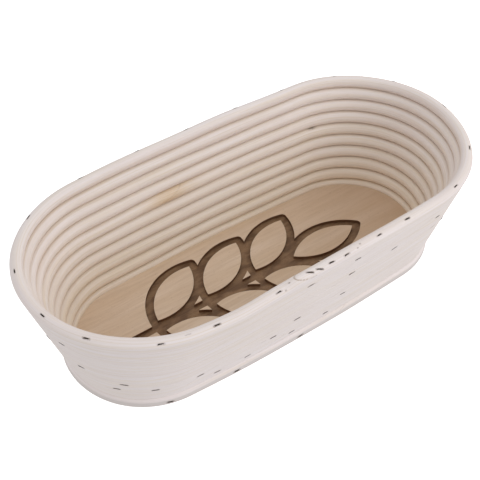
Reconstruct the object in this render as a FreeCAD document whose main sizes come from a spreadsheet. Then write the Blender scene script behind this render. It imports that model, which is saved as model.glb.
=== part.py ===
"""Long oval proofing basket: cane rings stapled one on another around a carved wooden base.

Units are millimetres. +X runs along the basket, +Z is up, and the origin is the middle of the
underside. Every ring follows the same oval: two end arcs joined by two slightly bowed sides, all
drawn about fixed centres, so that a ring differs from its neighbour only in its end radius.
"""
import FreeCAD, Part
import math
import os
import Sketcher

DIMENSIONS = {
    # the oval that every ring and the base follow
    "end_offset": 75.5,          # middle of the basket to the centre of an end arc
    "side_radius": 1275.0,       # bow of a long side, measured where the end radius is zero
    # the cane wall
    "ring_count": 10,
    "cane_width": 8.0,           # one cane, measured up the wall
    "bead_depth": 3.1,           # how far a cane rounds into the basket from its centre
    "wall_slope": 16.1,          # degrees that the wall leans outwards
    "face_depth": 3.6,           # cane centre to the sanded outer face
    "rim_edge_height": 1.7,      # where the rim's round meets the outer face, above its centre
    "foot_ring_radius": 44.3,    # end radius of the lowest ring, at its cane's centre
    "foot_centre_height": 4.0,   # lowest cane's centre above the underside
    "foot_bead": 2.2,            # how far the lowest cane, thinned for the board, rounds inwards
    "foot_reach": 5.6,           # lowest cane's centre to its upright outer face
    "foot_shoulder": 0.8,        # top of that upright face above the cane's centre
    "foot_corner": 2.0,          # rounding of the lower outside edge
    # the scarf joint that closes each ring
    "scarf_length": 20.0,        # along the ring, over the full height of the cane
    "rim_scarf_length": -26.0,   # negative because it leans the other way
    "scarf_kerf": 0.2,
    # the base board and the ear of wheat milled into it
    "board_thickness": 5.0,
    "groove_depth": 2.4,
    "groove_width": 5.2,
    "leaf_length": 47.0,
    "leaf_bulge": 10.2,          # half the width of a leaf
    "leaf_angle": 33.9,          # degrees between a side leaf and the stem
    "leaf_pitch": 35.5,
    "leaf_start_along": -65.6,   # first side leaf's inner point, along the stem
    "leaf_start_across": 4.65,   # the same point's distance from the stem's middle
    "tip_leaf_start": 31.3,
    "tip_leaf_length": 47.6,
    "tip_leaf_bulge": 9.4,
    "stem_tail": -98.0,
    # the wire staples
    "staple_width": 4.6,
    "staple_wire": 1.1,
    "staple_leg": 8.0,
    "staple_rise": 0.9,          # crown above the middle of the cane
    "staple_rake": 20.0,         # degrees that a leg leans in from the wall's own slope
    "rim_staple_leg": 10.5,
    "rim_staple_rise": 2.85,     # crown near the top of the rim's round
    "rim_staple_reach": 1.95,    # cane centre to the outside of that crown
    "board_staple_leg": 14.0,
    "board_staple_height": 2.9,  # above the underside
}

LEAF_PAIRS = 3
BACK_SEAM_RING = 5               # the only ring that is closed on the back wall

# Staples along each ring, in millimetres round the wall from the middle of the front side,
# counted on the mid-wall oval. Positive runs towards +X.
RIM_ROW = (-190, -157, -132, -99, -72, -34, -14, -8, 0, 10, 33, 54, 93, 127, 165, 200, 235, 270,
           305, 340, 375, 413, 451)
LOWER_ROWS = {
    2: (-12, 20, 118, 262, 398),
    3: (-150, 84, 212, 336),
    4: (21, 53, 160, 298, 442),
    5: (-170, 100, 246, 381),
    6: (-146, 132, 288, 420),
    7: (-121, -11, 22, 190, 342),
    8: (-127, -103, -74, -26, 150, 310, 448),
    9: (-62, -42, -11, 14, 108, 230, 380),
}
BOARD_ROW = (-94, -49, -4, 140, 200, 280, 360, 440)
MID_WALL_RADIUS = 60.0           # end radius of the oval on which the rows above are counted

# The scarfs, in millimetres along the basket
RIM_SEAM = -9.6
SEAM_START = -70.0
SEAM_STEP = 47.0
SEAM_CYCLE = 4                   # rings before a scarf is again over the same place


def make_sheet(doc):
    """The driving dimensions, one alias per row."""
    sheet = doc.addObject("Spreadsheet::Sheet", "Dimensions")
    for row, (alias, size) in enumerate(DIMENSIONS.items(), start=1):
        sheet.set(f"A{row}", alias)
        sheet.set(f"B{row}", str(size))
        sheet.setAlias(f"B{row}", alias)
    doc.recompute()
    return sheet


def cell(alias):
    """The sheet's name for a dimension, for use in an expression."""
    return f"Dimensions.{alias}"


def evaluate(owner, expression):
    """The number that an expression gives now."""
    return float(owner.evalExpression(str(expression)))


def origin_feature(body, role):
    """One of a body's own origin planes or axes."""
    return next(item for item in body.Origin.OriginFeatures if item.Role == role)


def add_sketch(body, name, role, along="0", up="0", turn="0"):
    """An empty sketch on an origin plane, shifted and turned within it."""
    sketch = body.newObject("Sketcher::SketchObject", name)
    sketch.AttachmentSupport = (origin_feature(body, role), "")
    sketch.MapMode = "FlatFace"
    sketch.AttachmentOffset.Rotation.Axis = FreeCAD.Vector(0, 0, 1)
    sketch.setExpression("AttachmentOffset.Base.x", str(along))
    sketch.setExpression("AttachmentOffset.Base.y", str(up))
    sketch.setExpression("AttachmentOffset.Rotation.Angle", str(turn))
    return sketch


def bind(sketch, kind, target, expression):
    """Hold a point's distance from the sketch's origin along X or Y to an expression."""
    size = evaluate(sketch, expression)
    index = sketch.addConstraint(Sketcher.Constraint(kind, -1, 1, *target, size))
    sketch.setExpression(f"Constraints[{index}]", str(expression))


def add_loop(sketch, corners, centres=None):
    """Draw a closed outline through corners, given as pairs of expressions.

    centres maps an edge's number to the centre of the arc that it is, with "cw" as a third entry
    where the arc turns clockwise. Every other edge is straight.
    """
    centres = centres or {}
    points = [FreeCAD.Vector(evaluate(sketch, x), evaluate(sketch, y), 0) for x, y in corners]
    edges = []
    for number, start in enumerate(points):
        end = points[(number + 1) % len(points)]
        if number not in centres:
            index = sketch.addGeometry(Part.LineSegment(start, end), False)
            edges.append((index, 1, 2))
            continue
        x, y, *turn = centres[number]
        centre = FreeCAD.Vector(evaluate(sketch, x), evaluate(sketch, y), 0)
        first, last = (end, start) if turn == ["cw"] else (start, end)
        circle = Part.Circle(centre, FreeCAD.Vector(0, 0, 1), (start - centre).Length)
        from_angle = math.atan2(first.y - centre.y, first.x - centre.x)
        to_angle = math.atan2(last.y - centre.y, last.x - centre.x)
        if to_angle <= from_angle:
            to_angle += 2 * math.pi
        index = sketch.addGeometry(Part.ArcOfCircle(circle, from_angle, to_angle), False)
        edges.append((index, 2, 1) if turn == ["cw"] else (index, 1, 2))
        chord = end - start
        if abs(chord.y) > abs(chord.x):
            bind(sketch, "DistanceX", (index, 3), x)
        else:
            bind(sketch, "DistanceY", (index, 3), y)
    for number, (index, head, tail) in enumerate(edges):
        following, next_head, _ = edges[(number + 1) % len(edges)]
        sketch.addConstraint(Sketcher.Constraint("Coincident", index, tail, following, next_head))
        x, y = corners[number]
        bind(sketch, "DistanceX", (index, head), x)
        bind(sketch, "DistanceY", (index, head), y)


def draw_oval(sketch, radius):
    """The basket's oval with the given end radius, as four tangent arcs."""
    side = cell("side_radius")
    offset = cell("end_offset")
    side_centre = f"sqrt({side}^2 - {offset}^2)"
    joint_along = f"({offset} + ({radius}) * {offset} / {side})"
    joint_across = f"(({radius}) * {side_centre} / {side})"
    corners = [
        (f"-{joint_along}", f"-{joint_across}"),
        (joint_along, f"-{joint_across}"),
        (joint_along, joint_across),
        (f"-{joint_along}", joint_across),
    ]
    centres = {
        0: ("0", side_centre),
        1: (offset, "0"),
        2: ("0", f"-{side_centre}"),
        3: (f"-{offset}", "0"),
    }
    add_loop(sketch, corners, centres)


def ring_radius(number):
    """End radius of a ring at its cane's centre; ring 1 is the rim."""
    step = f"({cell('ring_count')} - {number})"
    return f"({cell('foot_ring_radius')} + {step} * {cell('cane_width')} * sin({cell('wall_slope')}))"


def ring_height(number):
    """Height of a ring's cane centre above the underside."""
    step = f"({cell('ring_count')} - {number})"
    return f"({cell('foot_centre_height')} + {step} * {cell('cane_width')} * cos({cell('wall_slope')}))"


def bead_centre():
    """Centre of the inner round of a wall cane, which passes through both inner joints."""
    half = f"({cell('cane_width')} / 2)"
    depth = cell("bead_depth")
    return (f"(({half}^2 - {depth}^2) / (2 * {depth}))", "0")


def draw_wall_cane(sketch):
    """A cane in the wall: rounded inside, flat above, below and outside."""
    half = f"({cell('cane_width')} / 2)"
    face = cell("face_depth")
    corners = [("0", f"-{half}"), (face, f"-{half}"), (face, half), ("0", half)]
    add_loop(sketch, corners, {3: bead_centre()})


def draw_rim_cane(sketch):
    """The top cane: rounded inside and over the top, flat below and outside."""
    half = f"({cell('cane_width')} / 2)"
    face = cell("face_depth")
    depth = cell("bead_depth")
    edge = cell("rim_edge_height")
    over_top = f"(({face}^2 + {edge}^2 - {depth}^2) / (2 * ({face} + {depth})))"
    corners = [("0", f"-{half}"), (face, f"-{half}"), (face, edge), (f"-{depth}", "0")]
    add_loop(sketch, corners, {2: (over_top, "0"), 3: bead_centre()})


def draw_foot_cane(sketch):
    """The lowest and thickest cane: rounded and rebated for the board inside, upright outside."""
    half = f"({cell('cane_width')} / 2)"
    bead = cell("foot_bead")
    slope = cell("wall_slope")
    face = cell("face_depth")
    reach = cell("foot_reach")
    corner = cell("foot_corner")
    bottom = f"-{cell('foot_centre_height')}"
    rebate_top = f"({cell('board_thickness')} - {cell('foot_centre_height')})"
    top_along = f"({half} * sin({slope}))"
    top_up = f"({half} * cos({slope}))"
    rise = f"({top_up} - {rebate_top})"
    round_centre = f"(({top_along}^2 + {rise}^2 - {bead}^2) / (2 * ({top_along} + {bead})))"
    corners = [
        (f"-{bead}", bottom),
        (f"({reach} - {corner})", bottom),
        (reach, f"({bottom} + {corner})"),
        (reach, cell("foot_shoulder")),
        (f"({top_along} + {face} * cos({slope}))", f"({top_up} - {face} * sin({slope}))"),
        (top_along, top_up),
        (f"-{bead}", rebate_top),
    ]
    centres = {
        1: (f"({reach} - {corner})", f"({bottom} + {corner})"),
        5: (round_centre, rebate_top),
    }
    add_loop(sketch, corners, centres)


def seam_side(number):
    """The wall that holds a ring's scarf: +1 for the back, -1 for the front."""
    return 1 if number == BACK_SEAM_RING else -1


def seam_place(number):
    """Where along the basket a ring's scarf is, so that no two neighbours line up."""
    if number == 1:
        return RIM_SEAM
    return SEAM_START + SEAM_STEP * (number % SEAM_CYCLE)


def cut_scarf(body, number):
    """Part the ring with a thin slanting kerf through one wall."""
    length = cell("rim_scarf_length") if number == 1 else cell("scarf_length")
    reach = cell("cane_width")
    half_kerf = f"({cell('scarf_kerf')} / 2 * sqrt(1 + ({length} / {reach})^2))"
    sketch = add_sketch(body, f"ScarfSketch{number:02d}", "XZ_Plane", along=seam_place(number))
    corners = [
        (f"(-{length} - {half_kerf})", f"-{reach}"),
        (f"(-{length} + {half_kerf})", f"-{reach}"),
        (f"({length} + {half_kerf})", reach),
        (f"({length} - {half_kerf})", reach),
    ]
    add_loop(sketch, corners)
    pocket = body.newObject("PartDesign::Pocket", f"Scarf{number:02d}")
    pocket.Profile = sketch
    pocket.Type = "ThroughAll"
    pocket.Reversed = seam_side(number) < 0
    return pocket


def make_ring_body(doc, number, last):
    """One closed cane ring, swept and scarfed, before any staple is driven."""
    body = doc.addObject("PartDesign::Body", f"RingBody{number:02d}")
    body.setExpression("Placement.Base.z", ring_height(number))
    radius = ring_radius(number)
    path = add_sketch(body, f"RingPath{number:02d}", "XY_Plane")
    draw_oval(path, radius)
    lean = "0" if number == last else f"-{cell('wall_slope')}"
    section = add_sketch(body, f"CaneSection{number:02d}", "XZ_Plane",
                         along=f"{cell('end_offset')} + {radius}", turn=lean)
    if number == 1:
        draw_rim_cane(section)
    elif number == last:
        draw_foot_cane(section)
    else:
        draw_wall_cane(section)
    doc.recompute()
    sweep = body.newObject("PartDesign::AdditivePipe", f"Cane{number:02d}")
    sweep.Profile = section
    sweep.Spine = (path, [])
    doc.recompute()
    whole = sweep.Shape.Volume
    scarf = cut_scarf(body, number)
    doc.recompute()
    if scarf.Shape.Volume >= whole:
        raise RuntimeError(f"the scarf of ring {number} cuts nothing")
    return body


def draw_leaf(sketch, length, bulge):
    """The groove round a leaf, which lies along X from the sketch's origin.

    The leaf left standing is two equal arcs that meet in points. The groove's outer edge runs
    parallel to them, round at the leaf's tip where the cutter turns, and sharp at its base.
    """
    width = cell("groove_width")
    radius = f"(({length}^2 / 4 + {bulge}^2) / (2 * {bulge}))"
    middle = f"({length} / 2)"
    drop = f"({radius} - {bulge})"
    lower_centre = (middle, drop)
    upper_centre = (middle, f"-{drop}")
    add_loop(sketch, [("0", "0"), (length, "0")], {0: lower_centre, 1: upper_centre})
    base = f"({middle} - sqrt(({radius} + {width})^2 - {drop}^2))"
    cutter_reach = f"sqrt(({radius} + {width} / 2)^2 - {drop}^2)"
    spread = f"(({radius} + {width}) / ({radius} + {width} / 2))"
    tip_along = f"({middle} + {cutter_reach} * {spread})"
    tip_across = f"({drop} * ({spread} - 1))"
    corners = [(base, "0"), (tip_along, f"-{tip_across}"), (tip_along, tip_across)]
    tip_centre = (f"({middle} + {cutter_reach})", "0")
    add_loop(sketch, corners, {0: lower_centre, 1: tip_centre, 2: upper_centre})


def draw_stem(sketch):
    """The stem's groove: straight, round at the tail, running into the tip leaf's groove."""
    half = f"({cell('groove_width')} / 2)"
    tail = f"({cell('stem_tail')} + {half})"
    head = f"({cell('tip_leaf_start')} - {half})"
    corners = [(tail, f"-{half}"), (head, f"-{half}"), (head, half), (tail, half)]
    add_loop(sketch, corners, {3: (tail, "0")})


def mill(doc, body, name, sketch):
    """Cut a groove down into the board from its top face."""
    before = body.Shape.Volume
    groove = body.newObject("PartDesign::Pocket", name)
    groove.Profile = sketch
    groove.setExpression("Length", cell("groove_depth"))
    doc.recompute()
    if groove.Shape.Volume >= before:
        raise RuntimeError(f"the groove {name} cuts nothing")


def make_board_body(doc):
    """The flat base board with an ear of wheat milled into its top face.

    The body's own XY plane is the board's top face.
    """
    body = doc.addObject("PartDesign::Body", "BoardBody")
    body.setExpression("Placement.Base.z", cell("board_thickness"))
    outline = add_sketch(body, "BoardOutline", "XY_Plane")
    draw_oval(outline, f"({cell('foot_ring_radius')} - {cell('foot_bead')})")
    doc.recompute()
    blank = body.newObject("PartDesign::Pad", "BoardBlank")
    blank.Profile = outline
    blank.Reversed = True
    blank.setExpression("Length", cell("board_thickness"))
    doc.recompute()

    stem = add_sketch(body, "StemSketch", "XY_Plane")
    draw_stem(stem)
    mill(doc, body, "Stem", stem)
    for pair in range(LEAF_PAIRS):
        along = f"({cell('leaf_start_along')} + {pair} * {cell('leaf_pitch')})"
        for side, sign in (("Back", ""), ("Front", "-")):
            leaf = add_sketch(body, f"{side}LeafSketch{pair + 1}", "XY_Plane", along=along,
                              up=f"{sign}{cell('leaf_start_across')}", turn=f"{sign}{cell('leaf_angle')}")
            draw_leaf(leaf, cell("leaf_length"), cell("leaf_bulge"))
            mill(doc, body, f"{side}Leaf{pair + 1}", leaf)
    tip_leaf = add_sketch(body, "TipLeafSketch", "XY_Plane", along=cell("tip_leaf_start"))
    draw_leaf(tip_leaf, cell("tip_leaf_length"), cell("tip_leaf_bulge"))
    mill(doc, body, "TipLeaf", tip_leaf)
    return body


def add_box(doc, name, sizes, corner, turn="0"):
    """A bar of wire: lengths along X, Y and Z, a corner's place, and its turn about Y."""
    bar = doc.addObject("Part::Box", name)
    bar.Placement.Rotation.Axis = FreeCAD.Vector(0, 1, 0)
    for side, size in zip(("Length", "Width", "Height"), sizes):
        bar.setExpression(side, size)
    for axis, place in zip("xyz", corner):
        bar.setExpression(f"Placement.Base.{axis}", place)
    bar.setExpression("Placement.Rotation.Angle", turn)
    return bar


def make_staple(doc, name, reach, rise, rake, leg):
    """A staple driven down the wall, which ties a ring to the ring below.

    It is drawn about the cane's centre: X out through the wall, Y along the ring, Z up the wall.
    reach is the outside of its crown, rise is the crown's middle, and rake is the angle at which
    its legs lean in from the wall's own slope.
    """
    wire = cell("staple_wire")
    width = cell("staple_width")
    crown = add_box(doc, f"{name}Crown", (wire, width, wire),
                    (f"{reach} - {wire}", f"-{width} / 2", f"{rise} - {wire} / 2"))
    legs = [
        add_box(doc, f"{name}Leg{number}", (wire, wire, leg),
                (reach, edge, f"{rise} + {wire} / 2 - {wire} * sin({rake})"), turn=f"180 + {rake}")
        for number, edge in ((1, f"-{width} / 2"), (2, f"{width} / 2 - {wire}"))
    ]
    staple = doc.addObject("Part::MultiFuse", name)
    staple.Shapes = [crown, *legs]
    return staple


def make_board_staple(doc):
    """The longer staple that runs level through the lowest ring into the board's edge.

    It is drawn about the cane's centre: X out, Y along the ring, Z up.
    """
    wire = cell("staple_wire")
    width = cell("staple_width")
    reach = cell("foot_reach")
    leg = cell("board_staple_leg")
    bottom = f"{cell('board_staple_height')} - {cell('foot_centre_height')} - {wire} / 2"
    crown = add_box(doc, "BoardStapleCrown", (wire, width, wire),
                    (f"{reach} - {wire}", f"-{width} / 2", bottom))
    legs = [
        add_box(doc, name, (leg, wire, wire), (f"{reach} - {leg}", edge, bottom))
        for name, edge in (("BoardStapleLeg1", f"-{width} / 2"),
                           ("BoardStapleLeg2", f"{width} / 2 - {wire}"))
    ]
    staple = doc.addObject("Part::MultiFuse", "BoardStaple")
    staple.Shapes = [crown, *legs]
    return staple


def wall_station(sheet, distance):
    """A place round the wall: the point where the end radius is zero, and the way out from it."""
    side_turn = math.asin(sheet.end_offset / sheet.side_radius)
    side_run = side_turn * (sheet.side_radius + MID_WALL_RADIUS)
    quarter_run = side_run + (math.pi / 2 - side_turn) * MID_WALL_RADIUS
    quarter, along = divmod(distance % (4 * quarter_run), quarter_run)
    if quarter in (1, 3):
        along = quarter_run - along
    along_sign = 1 if quarter in (0, 1) else -1
    front_sign = 1 if quarter in (0, 3) else -1
    if along < side_run:
        angle = along / (sheet.side_radius + MID_WALL_RADIUS)
        centre = FreeCAD.Vector(0, math.sqrt(sheet.side_radius**2 - sheet.end_offset**2), 0)
        start = sheet.side_radius
    else:
        angle = side_turn + (along - side_run) / MID_WALL_RADIUS
        centre = FreeCAD.Vector(sheet.end_offset, 0, 0)
        start = 0.0
    outward = FreeCAD.Vector(along_sign * math.sin(angle), -front_sign * math.cos(angle), 0)
    centre = FreeCAD.Vector(along_sign * centre.x, front_sign * centre.y, 0)
    return centre + outward * start, outward


def drive_row(doc, name, staple, row, number, slope):
    """A row of staples round one ring, each square to the wall where it is driven."""
    sheet = doc.getObject("Dimensions")
    radius = evaluate(sheet, ring_radius(number))
    height = evaluate(sheet, ring_height(number))
    lean = math.radians(slope)
    up = FreeCAD.Vector(0, 0, 1)
    driven = []
    for distance in row:
        foot, outward = wall_station(sheet, distance)
        through = outward * math.cos(lean) - up * math.sin(lean)
        up_wall = outward * math.sin(lean) + up * math.cos(lean)
        along = up_wall.cross(through)
        place = FreeCAD.Placement(foot + outward * radius + up * height,
                                  FreeCAD.Rotation(through, along, up_wall, "XZY"))
        copy = staple.Shape.copy()
        copy.Placement = place
        driven.append(copy)
    node = doc.addObject("Part::Feature", name)
    node.Shape = Part.makeCompound(driven)
    node.Placement = FreeCAD.Placement()
    node.Label = name
    return node


def slot_for_staples(doc, name, body, rows):
    """A piece with the slots that its staples fill."""
    wires = doc.addObject("Part::Compound", f"{name}_wires")
    wires.Links = rows
    node = doc.addObject("Part::Cut", name)
    node.Base = body
    node.Tool = wires
    node.Label = name
    return node


def ring_name(number, last):
    """What each ring is called, from the rim down."""
    if number == 1:
        return "rim_ring"
    return "foot_ring" if number == last else f"wall_ring_{number:02d}"


def build(doc):
    """Every piece of the basket, with the number of solids that each holds."""
    sheet = make_sheet(doc)
    last = int(sheet.ring_count)
    rim_staple = make_staple(doc, "RimStaple", cell("rim_staple_reach"), cell("rim_staple_rise"),
                             "0", cell("rim_staple_leg"))
    wall_staple = make_staple(doc, "WallStaple", cell("face_depth"), cell("staple_rise"),
                              cell("staple_rake"), cell("staple_leg"))
    board_staple = make_board_staple(doc)
    doc.recompute()

    rows = {}
    rows[1] = drive_row(doc, "rim_staples", rim_staple, RIM_ROW, 1, sheet.wall_slope)
    for number, row in LOWER_ROWS.items():
        rows[number] = drive_row(doc, f"wall_staples_{number:02d}", wall_staple, row, number,
                                 sheet.wall_slope)
    rows[last] = drive_row(doc, "base_staples", board_staple, BOARD_ROW, last, 0.0)
    pieces = [(node, len(node.Shape.Solids)) for node in rows.values()]

    for number in range(1, last + 1):
        body = make_ring_body(doc, number, last)
        held_by = [rows[row] for row in (number - 1, number) if row in rows]
        pieces.append((slot_for_staples(doc, ring_name(number, last), body, held_by), 1))
    board = make_board_body(doc)
    pieces.append((slot_for_staples(doc, "base_board", board, [rows[last]]), 1))
    doc.recompute()
    return pieces


def check(doc, pieces):
    """Stop if any feature failed, or any piece isn't the sound solid that it should be."""
    for item in doc.Objects:
        if "Invalid" in item.State or "Error" in item.State:
            raise RuntimeError(f"{item.Label} failed: {item.State}")
    for node, solids in pieces:
        shape = node.Shape
        if shape.isNull() or not shape.isValid() or shape.Volume <= 0:
            raise RuntimeError(f"{node.Label} has no sound shape")
        if len(shape.Solids) != solids:
            raise RuntimeError(f"{node.Label} holds {len(shape.Solids)} solids, not {solids}")


def export(pieces):
    """One STEP file per piece, named after it."""
    os.makedirs("parts", exist_ok=True)
    for node, _ in pieces:
        node.Shape.exportStep(f"parts/{node.Label}.step")
        print(f"{node.Label}: {node.Shape.Volume / 1000:.2f} cm3")


basket = FreeCAD.newDocument("proofing_basket")
basket_pieces = build(basket)
check(basket, basket_pieces)
export(basket_pieces)
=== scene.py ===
"""Looks for the long oval proofing basket: cane rings, wire staples and a carved base board.

Metres. +X runs along the basket, +Y towards its back, +Z up. Sizes and places come from the
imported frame. A place in the wall has three coordinates: run, the distance round the wall from the
middle of the front, towards +X first; out, through the wall from the canes' centre line; and up,
up the wall's slope from the foot ring's centre.
"""
import math
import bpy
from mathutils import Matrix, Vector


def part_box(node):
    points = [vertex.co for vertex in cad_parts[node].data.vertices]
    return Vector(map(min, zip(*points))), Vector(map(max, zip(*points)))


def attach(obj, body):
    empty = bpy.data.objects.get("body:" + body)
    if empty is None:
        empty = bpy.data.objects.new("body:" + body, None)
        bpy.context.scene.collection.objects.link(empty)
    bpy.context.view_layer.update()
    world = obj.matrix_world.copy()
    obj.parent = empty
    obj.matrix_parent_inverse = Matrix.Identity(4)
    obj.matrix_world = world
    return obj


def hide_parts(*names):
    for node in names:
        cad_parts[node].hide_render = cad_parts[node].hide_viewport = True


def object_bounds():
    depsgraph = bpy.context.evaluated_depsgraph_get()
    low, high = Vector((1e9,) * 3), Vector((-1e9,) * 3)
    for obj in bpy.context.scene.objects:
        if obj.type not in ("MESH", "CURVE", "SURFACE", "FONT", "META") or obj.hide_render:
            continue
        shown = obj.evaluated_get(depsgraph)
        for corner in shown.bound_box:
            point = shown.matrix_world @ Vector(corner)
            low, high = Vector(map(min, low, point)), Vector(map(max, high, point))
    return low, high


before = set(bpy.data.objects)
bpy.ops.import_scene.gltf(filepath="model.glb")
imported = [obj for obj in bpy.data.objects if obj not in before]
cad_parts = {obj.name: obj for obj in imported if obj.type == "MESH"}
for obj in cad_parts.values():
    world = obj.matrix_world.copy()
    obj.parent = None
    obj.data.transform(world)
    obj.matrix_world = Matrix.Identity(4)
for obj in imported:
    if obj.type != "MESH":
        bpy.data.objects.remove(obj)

from types import SimpleNamespace

import bpy
import numpy as np
from mathutils import Matrix, Vector

CAD_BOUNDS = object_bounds()
MM = 0.001

# The seed, and the keys that give each kind of random draw a series of its own. The joints' keys
# are the ring numbers.
SEED = 11
BEAD_KEY = 100
RIM_KEY = 150
FACE_KEY = 200
EDGE_KEY = 400
RING_KEY = 500
TILT_KEY = 600
WIRE_KEY = 700
WAVE_COUNT = 12

RINGS = 10
RING_NAMES = ["rim_ring"] + [f"wall_ring_{number:02d}" for number in range(2, RINGS)] + ["foot_ring"]
ROW_NAMES = (["rim_staples"] + [f"wall_staples_{number:02d}" for number in range(2, RINGS)]
             + ["base_staples"])

# Sizes that no box in the frame shows
SIDE_BOW = 2.237 * MM            # how far the middle of a long side bows out
MID_WALL_RADIUS = 60 * MM        # end radius of the oval on which distances round are counted
BEAD_DEPTH = 3.1 * MM            # how far a cane rounds into the basket
RIM_EDGE = 1.7 * MM              # where the rim's round meets the outer face, above its centre
FOOT_SHOULDER = 0.8 * MM         # top of the foot's upright face above its centre
FOOT_CORNER = 2.0 * MM           # rounding of the foot's lower outside edge
WIRE = 1.1 * MM                  # depth of the staple's flat wire
RIM_WIRE = 0.8 * MM              # and its width, which is less in the staples of the rim
WALL_WIRE = 1.1 * MM
STAPLE_WIDTH = 4.6 * MM
RIM_LEG = 10.0 * MM
WALL_LEG = 7.0 * MM
BASE_LEG = 12.0 * MM

# How far the hand work strays from the drawn shape
JOINT_WANDER = 0.18 * MM
JOINT_WAVES = (70 * MM, 340 * MM)    # its shortest and longest waves round the basket
BEAD_WANDER = 0.06 * MM
BEAD_WAVES = (30 * MM, 200 * MM)
FACE_WANDER = 0.10 * MM
FACE_WAVES = (60 * MM, 400 * MM)
TRACE_WANDER = 0.02 * MM         # each cane's own trace in the sanded face
TRACE_WAVES = (30 * MM, 150 * MM)
RIM_WANDER = 0.12 * MM
RIM_WAVES = (60 * MM, 300 * MM)
EDGE_WANDER = 0.6                # in shares of the edge's own round
EDGE_WAVES = (20 * MM, 150 * MM)
CANE_GAP = 0.03 * MM             # between two canes, on each side of their joint

# The near side, where the rim's cane was joined: how its joints sag, how the rim's top sags and
# steps up at the scarf's end, and how the wall bows out at the rim. Pairs of distance round and
# size, in millimetres.
NEAR_SAG = ((-106, 0), (-56, -2.1), (-28, -1.4), (8, 0))
NEAR_STEP = ((-106, 0), (-56, -1.7), (-30, -1.3), (-20.5, 1.0), (2, 0))
NEAR_BOW = ((-122, 0), (-60, 2.3), (-24, 0.2), (8, 0))
SAG_DEPTH = 5                    # rings down to which the sag is felt

# The scarfs: run, and how far the cut travels along the ring over the cane's full height
BACK_SEAM_RING = 5
SEAM_START = -70 * MM
SEAM_STEP = 47 * MM
SEAM_CYCLE = 4
SEAM_LENGTH = 20 * MM
RIM_SEAM = -9.6 * MM
RIM_SEAM_LENGTH = -26 * MM
RIM_SEAM_TIGHT = -16 * MM        # the rim's scarf can't be seen beyond here


# ------------------------------------------------------------------ the wall, read from the frame

def read_wall():
    """The wall's driving sizes, worked out from the boxes of the board and the rings."""
    board_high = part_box("base_board")[1]
    upper_low, upper_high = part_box(RING_NAMES[1])
    lower_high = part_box(RING_NAMES[-2])[1]
    foot_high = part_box("foot_ring")[1]
    run = upper_high.x - lower_high.x
    rise = upper_high.z - lower_high.z
    slope = math.atan2(run, rise)
    cane = math.hypot(run, rise) / (RINGS - 3)
    down = (RINGS - 2) * cane
    half = cane / 2
    face = (upper_high.z - upper_low.z - cane * math.cos(slope)) / math.sin(slope)
    end_offset = (board_high.x - board_high.y) + SIDE_BOW
    upper_radius = upper_high.x - end_offset - face * math.cos(slope) - half * math.sin(slope)
    foot_radius = upper_radius - down * math.sin(slope)
    side_radius = (end_offset**2 + SIDE_BOW**2) / (2 * SIDE_BOW)
    side_turn = math.asin(end_offset / side_radius)
    side_run = side_turn * (side_radius + MID_WALL_RADIUS)
    return SimpleNamespace(
        slope=slope, cane=cane, face=face, end_offset=end_offset, side_radius=side_radius,
        side_turn=side_turn, side_run=side_run,
        centre_drop=math.sqrt(side_radius**2 - end_offset**2),
        quarter=side_run + (math.pi / 2 - side_turn) * MID_WALL_RADIUS,
        foot_radius=foot_radius,
        foot_height=upper_high.z - half * math.cos(slope) - down * math.cos(slope),
        foot_reach=foot_high.x - end_offset - foot_radius,
        board_edge=board_high.x - end_offset,
        board_top=board_high.z,
    )


WALL = read_wall()
AROUND = 4 * WALL.quarter


def wall_line(run):
    """The points where the end radius is zero, and the ways out from them, at distances round."""
    quarter, along = np.divmod(run, WALL.quarter)
    quarter = quarter % 4
    along = np.where(quarter % 2 == 1, WALL.quarter - along, along)
    sign = np.stack([np.where(quarter < 2, 1, -1), np.where((quarter == 0) | (quarter == 3), -1, 1)],
                    axis=-1)
    on_side = along < WALL.side_run
    angle = np.where(on_side, along / (WALL.side_radius + MID_WALL_RADIUS),
                     WALL.side_turn + (along - WALL.side_run) / MID_WALL_RADIUS)
    away = np.stack([np.sin(angle), np.cos(angle)], axis=-1)
    side_foot = away * WALL.side_radius - np.array([0, WALL.centre_drop])
    foot = np.where(on_side[..., None], side_foot, np.array([WALL.end_offset, 0]))
    return foot * sign, away * sign


def run_between(run, place):
    """Signed distance round the wall from a place, the short way."""
    return (run - place + AROUND / 2) % AROUND - AROUND / 2


def eased(run, knots):
    """A line through (distance round, size) pairs that eases in and out of each of them."""
    places, sizes = np.array(knots).T * MM
    here = run_between(run, 0)
    step = np.clip(np.searchsorted(places, here) - 1, 0, len(places) - 2)
    part = np.clip((here - places[step]) / (places[step + 1] - places[step]), 0, 1)
    ease = part * part * (3 - 2 * part)
    return sizes[step] * (1 - ease) + sizes[step + 1] * ease


def near_bow(run, up):
    """How far the near wall bows out at a height up it, most of all at the rim."""
    share = (up / ((RINGS - 1) * WALL.cane)).clip(0)
    return eased(run, NEAR_BOW) * share**2


def wall_points(run, out, up):
    """Points at wall coordinates, given as arrays of one shape."""
    foot, away = wall_line(run)
    straight = WALL.foot_radius + out * math.cos(WALL.slope) + up * math.sin(WALL.slope)
    reach = straight + near_bow(run, up)
    height = WALL.foot_height - out * math.sin(WALL.slope) + up * math.cos(WALL.slope)
    flat = foot + away * reach[..., None]
    return np.concatenate([flat, height[..., None]], axis=-1)


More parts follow.
